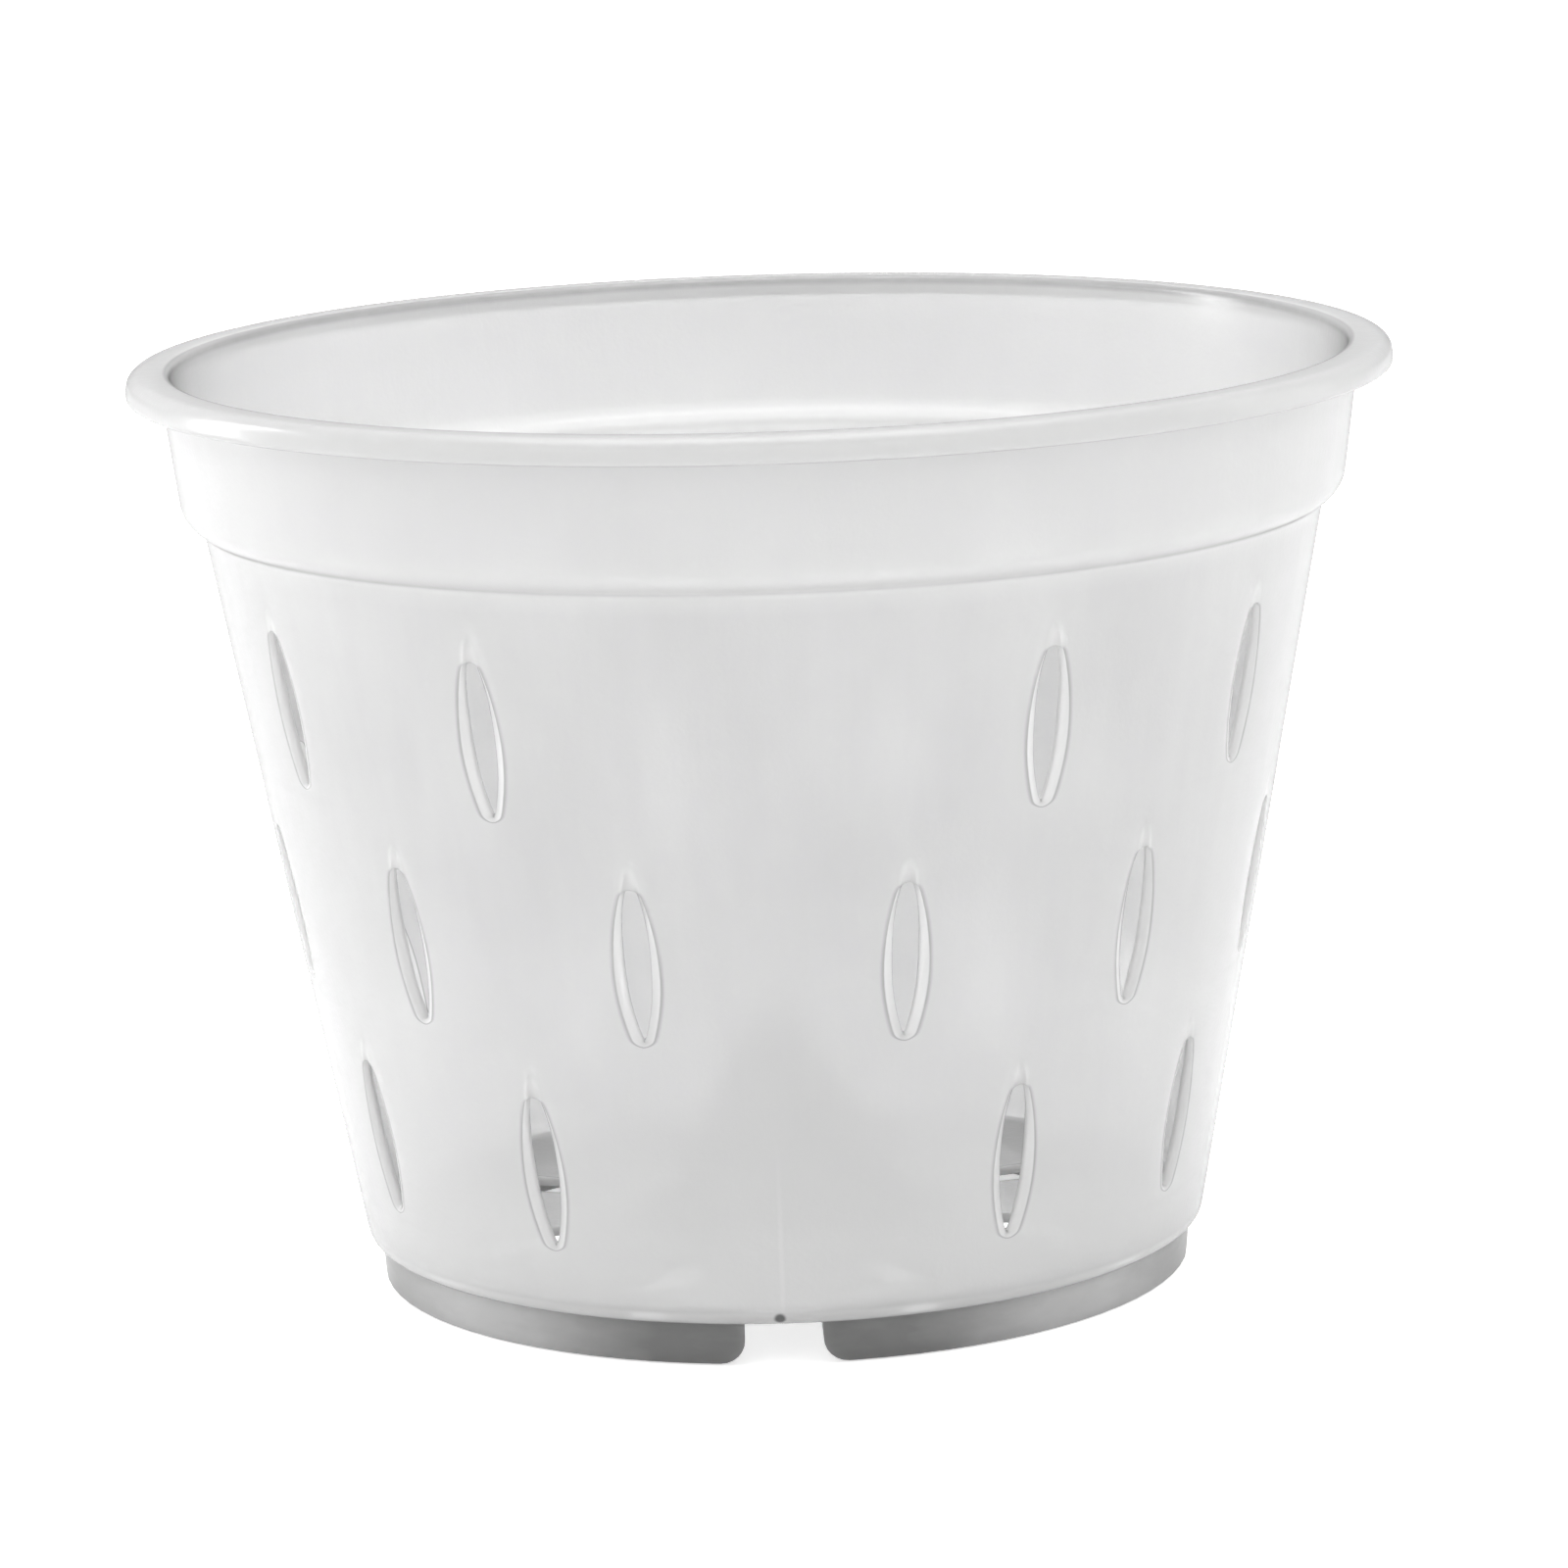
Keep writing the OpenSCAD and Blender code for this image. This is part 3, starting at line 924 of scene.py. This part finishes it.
def foot_polypropylene():
    """The same plastic where it is thickest and stands in its own shadow, so it reads as grey,
    with soft streaks along the ring where it cooled last."""
    material, tree = empty_material("natural_polypropylene_thick")
    finish = bpy.context.scene.pot_finish
    place = add_node(tree, "ShaderNodeTexCoord").outputs["Object"]
    # Streaks about 6 mm long and 2 mm high
    drawn = add_node(tree, "ShaderNodeMapping", None, place, None, None, (1, 1, 3))
    streaks = add_node(tree, "ShaderNodeTexNoise", None, Vector=drawn, Scale=160, Detail=3)
    # Painted shade: each foot is drawn darker beside its notches and paler midway along it, for
    # the shade that falls on it
    azimuth = azimuth_of(tree, add_node(tree, "ShaderNodeSeparateXYZ", None, place))
    aside = add_node(tree, "ShaderNodeMath", {"operation": "PINGPONG"}, azimuth, math.pi / 4)
    unshaded_and_streaks = add_node(
        tree,
        "ShaderNodeMapRange",
        SOFT,
        Value=aside,
        From_Min=math.radians(14),
        From_Max=math.radians(42),
    )
    unshaded_and_streaks = add_node(
        tree, "ShaderNodeMath", {"operation": "MULTIPLY_ADD"}, streaks, 0.5, unshaded_and_streaks
    )
    unshaded_and_streaks = add_node(
        tree, "ShaderNodeMapRange", None, Value=unshaded_and_streaks, From_Min=0.25, From_Max=1.25
    )
    grey, paler = finish.foot_colour, finish.foot_pale_colour
    colour = add_node(tree, "ShaderNodeMix", BLEND, Factor=unshaded_and_streaks, A=grey, B=paler)
    satin = add_node(tree, "ShaderNodeMapRange", None, Value=streaks, To_Min=0.25, To_Max=0.4)
    plastic = add_node(
        tree,
        "ShaderNodeBsdfPrincipled",
        None,
        Base_Color=colour.outputs["Result"],
        Roughness=satin,
        IOR=POLYPROPYLENE_IOR,
        Transmission_Weight=FOOT_CLEAR,
        Subsurface_Weight=1.0,
        Subsurface_Radius=(1, 1, 1),
        Subsurface_Scale=4 * TO_METRES,
        Normal=satin_skin(tree, place, streaks),
    )
    add_node(tree, "ShaderNodeOutputMaterial", None, plastic)
    return material


class ORCHIDPOT_OT_moulding(bpy.types.Operator):
    """Models the clear moulding from lip to cone as one closed shell"""

    bl_idname = "orchidpot.moulding"
    bl_label = "Clear moulding"

    def execute(self, context):
        outside, inside = heel_profiles(CAD["rows_low_z"])
        over, under = cone_profiles()
        pieces = [spin_profile("lip_and_shoulder", upper_profile(CAD["rows_high_z"]))]
        pieces += [spin_profile("heel_outside", outside), spin_profile("heel_inside", inside)]
        pieces += [spin_profile("cone_top", over), spin_profile("cone_under", under)]
        pieces += wall_cells() + floor_cells()
        pot = join_all(pieces, "moulded_pot")
        check_closed(pot)
        in_metres(pot)
        smooth = pot.modifiers.new("smooth_skin", "SUBSURF")
        smooth.levels = smooth.render_levels = 1
        bpy.ops.object.modifier_apply(modifier=smooth.name)
        bpy.ops.object.shade_smooth()
        pot.data.materials.clear()
        pot.data.materials.append(clear_polypropylene())
        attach(pot, "root")
        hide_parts(*CLEAR_NODES)
        return {"FINISHED"}


class ORCHIDPOT_OT_feet(bpy.types.Operator):
    """Models the four feet of the foot ring, with rounded lower corners at the notches"""

    bl_idname = "orchidpot.feet"
    bl_label = "Feet"

    def execute(self, context):
        first = model_foot()
        first.data.materials.clear()
        first.data.materials.append(foot_polypropylene())
        feet = {"foot_front_right": first}
        for node, turn in OTHER_FEET.items():
            feet[node] = turned_copy(first, turn, "moulded_" + node)
        for node, foot in feet.items():
            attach(foot, "root")
            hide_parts(node)
        return {"FINISHED"}


def model_foot():
    """The front right foot: a spun section whose lower corners at the notches are bevelled."""
    t, r = shape_mm("foot_t"), CAD["foot_r"]
    h = CAD["foot_height"] + FOOT_IN_FLOOR
    taper = 0.3
    half_notch = math.degrees(math.asin(shape_mm("notch_width") / 2 / (r - t / 2)))
    section = [(r - taper - t, 0), (r - taper, 0), (r, h), (r - t, h)]
    start, end = -90 + half_notch, -half_notch
    name = "moulded_foot_front_right"
    foot = spin_profile(name, section, end - start, start, FOOT_STEPS, closed=True)
    bpy.ops.object.mode_set(mode="EDIT")
    bpy.ops.mesh.select_all(action="DESELECT")
    bpy.ops.mesh.select_non_manifold()
    bpy.ops.mesh.edge_face_add()
    bpy.ops.mesh.select_all(action="SELECT")
    bpy.ops.mesh.normals_make_consistent(inside=False)
    bpy.ops.mesh.select_all(action="DESELECT")
    bpy.ops.mesh.select_mode(type="EDGE")
    bpy.ops.object.mode_set(mode="OBJECT")
    for edge in foot.data.edges:
        ends = [foot.data.vertices[i].co for i in edge.vertices]
        turns = [math.degrees(math.atan2(v.y, v.x)) for v in ends]
        at_notch = any(all(abs(turn - a) < 0.5 for turn in turns) for a in (start, end))
        edge.select = at_notch and all(v.z < 0.01 for v in ends)
    bpy.ops.object.mode_set(mode="EDIT")
    bpy.ops.mesh.bevel(offset=shape_mm("notch_r"), segments=6, affect="EDGES")
    bpy.ops.object.mode_set(mode="OBJECT")
    rounding = foot.modifiers.new("moulded_edges", "BEVEL")
    rounding.width = 0.25
    rounding.segments = 2
    rounding.limit_method = "ANGLE"
    rounding.angle_limit = math.radians(40)
    bpy.ops.object.modifier_apply(modifier=rounding.name)
    bpy.ops.object.shade_smooth_by_angle(angle=math.radians(35))
    in_metres(foot)
    return foot


class ORCHIDPOT_OT_stage(bpy.types.Operator):
    """Adds the plain floor, the soft lamps, the white surroundings and the camera"""

    bl_idname = "orchidpot.stage"
    bl_label = "Stage"

    def execute(self, context):
        stage_floor()
        stage_lamps()
        stage_world()
        stage_camera()
        return {"FINISHED"}


def seen_directly(tree, *rays):
    """1 for the named kinds of ray, such as what the camera sees straight on, else 0."""
    path = add_node(tree, "ShaderNodeLightPath").outputs
    seen = path[rays[0]]
    for ray in rays[1:]:
        seen = add_node(tree, "ShaderNodeMath", {"operation": "MAXIMUM"}, seen, path[ray])
    return seen


def stage_floor():
    start_clean()
    bpy.ops.mesh.primitive_plane_add(size=6.0, location=(0, 0, -0.0002))
    floor = bpy.context.object
    floor.name = "plain_floor"
    material, tree = empty_material("plain_floor")
    matt = add_node(tree, "ShaderNodeBsdfDiffuse", None, bpy.context.scene.pot_finish.floor_colour)
    glow = add_node(tree, "ShaderNodeEmission", None, None, FLOOR_GLOW)
    both = add_node(tree, "ShaderNodeAddShader", None, matt, glow)
    seen = seen_directly(tree, "Is Camera Ray", "Is Glossy Ray")
    mix = add_node(tree, "ShaderNodeMixShader", None, seen, matt, both)
    add_node(tree, "ShaderNodeOutputMaterial", None, mix)
    floor.data.materials.append(material)


def stage_lamps():
    """Soft boxes aimed at the pot's middle."""
    for name, (place, size, watts) in LAMPS.items():
        data = bpy.data.lights.new(name, "AREA")
        data.shape = "RECTANGLE"
        data.size, data.size_y = size
        data.energy = watts
        lamp = bpy.data.objects.new(name, data)
        bpy.context.scene.collection.objects.link(lamp)
        lamp.location = place
        way = Vector(POT_MIDDLE) - Vector(place)
        lamp.rotation_euler = way.to_track_quat("-Z", "Y").to_euler()


def stage_world():
    world = bpy.data.worlds.new("white_surroundings")
    world.use_nodes = True
    tree = world.node_tree
    tree.nodes.clear()
    # A bright backdrop behind the pot, and a dimmer room on the camera's side
    way = add_node(tree, "ShaderNodeTexCoord").outputs["Generated"]
    way = add_node(tree, "ShaderNodeSeparateXYZ", None, way).outputs["Y"]
    level = add_node(
        tree,
        "ShaderNodeMapRange",
        None,
        Value=way,
        From_Min=-1.0,
        To_Min=ROOM_LEVEL,
        To_Max=BACKDROP_LEVEL,
    )
    plain = add_node(tree, "ShaderNodeBackground", None, (1, 1, 1, 1), level)
    white = add_node(tree, "ShaderNodeBackground", None, (1, 1, 1, 1), 1.0)
    seen = seen_directly(tree, "Is Camera Ray", "Is Glossy Ray", "Is Transmission Ray")
    mix = add_node(tree, "ShaderNodeMixShader", None, seen, plain, white)
    add_node(tree, "ShaderNodeOutputWorld", None, mix)
    bpy.context.scene.world = world


def stage_camera():
    """The camera of the photograph: far away, a little above the rim, and slightly rolled."""
    data = bpy.data.cameras.new("camera")
    data.lens = 150
    data.sensor_width = 36
    data.clip_end = 20
    camera = bpy.data.objects.new("camera", data)
    bpy.context.scene.collection.objects.link(camera)
    right = Vector((0.99952, -0.00607, -0.03053))
    forward = Vector((0, 0.98078, -0.19509))
    up = right.cross(forward)
    turn = Matrix((right, up, -forward)).transposed()
    place = Matrix.Translation((0.00145, -0.78463, 0.21519)) @ turn.to_4x4()
    camera.matrix_world = Matrix.Rotation(math.radians(0.6), 4, "Z") @ place
    bpy.context.scene.camera = camera


class ORCHIDPOT_PT_panel(bpy.types.Panel):
    """Lists the steps and the sizes of the pot"""

    bl_idname = "ORCHIDPOT_PT_panel"
    bl_label = "Orchid Pot"
    bl_space_type = "VIEW_3D"
    bl_region_type = "UI"
    bl_category = "Orchid Pot"

    def draw(self, context):
        layout = self.layout
        for step in STEPS:
            layout.operator(step.bl_idname)
        for group in (context.scene.pot_shape, context.scene.pot_finish):
            for name in group.bl_rna.properties.keys():
                if name not in ("rna_type", "name"):
                    layout.prop(group, name)


STEPS = (ORCHIDPOT_OT_moulding, ORCHIDPOT_OT_feet, ORCHIDPOT_OT_stage)
CLASSES = (PotShape, PotFinish, *STEPS, ORCHIDPOT_PT_panel)


def register():
    for cls in CLASSES:
        bpy.utils.register_class(cls)
    bpy.types.Scene.pot_shape = bpy.props.PointerProperty(type=PotShape)
    bpy.types.Scene.pot_finish = bpy.props.PointerProperty(type=PotFinish)


def unregister():
    del bpy.types.Scene.pot_finish
    del bpy.types.Scene.pot_shape
    for cls in reversed(CLASSES):
        bpy.utils.unregister_class(cls)


def main():
    register()
    bpy.ops.orchidpot.moulding()
    bpy.ops.orchidpot.feet()
    bpy.ops.orchidpot.stage()
    bpy.context.scene.view_settings.view_transform = "Standard"
    bpy.context.view_layer.update()


if __name__ == "__main__":
    main()
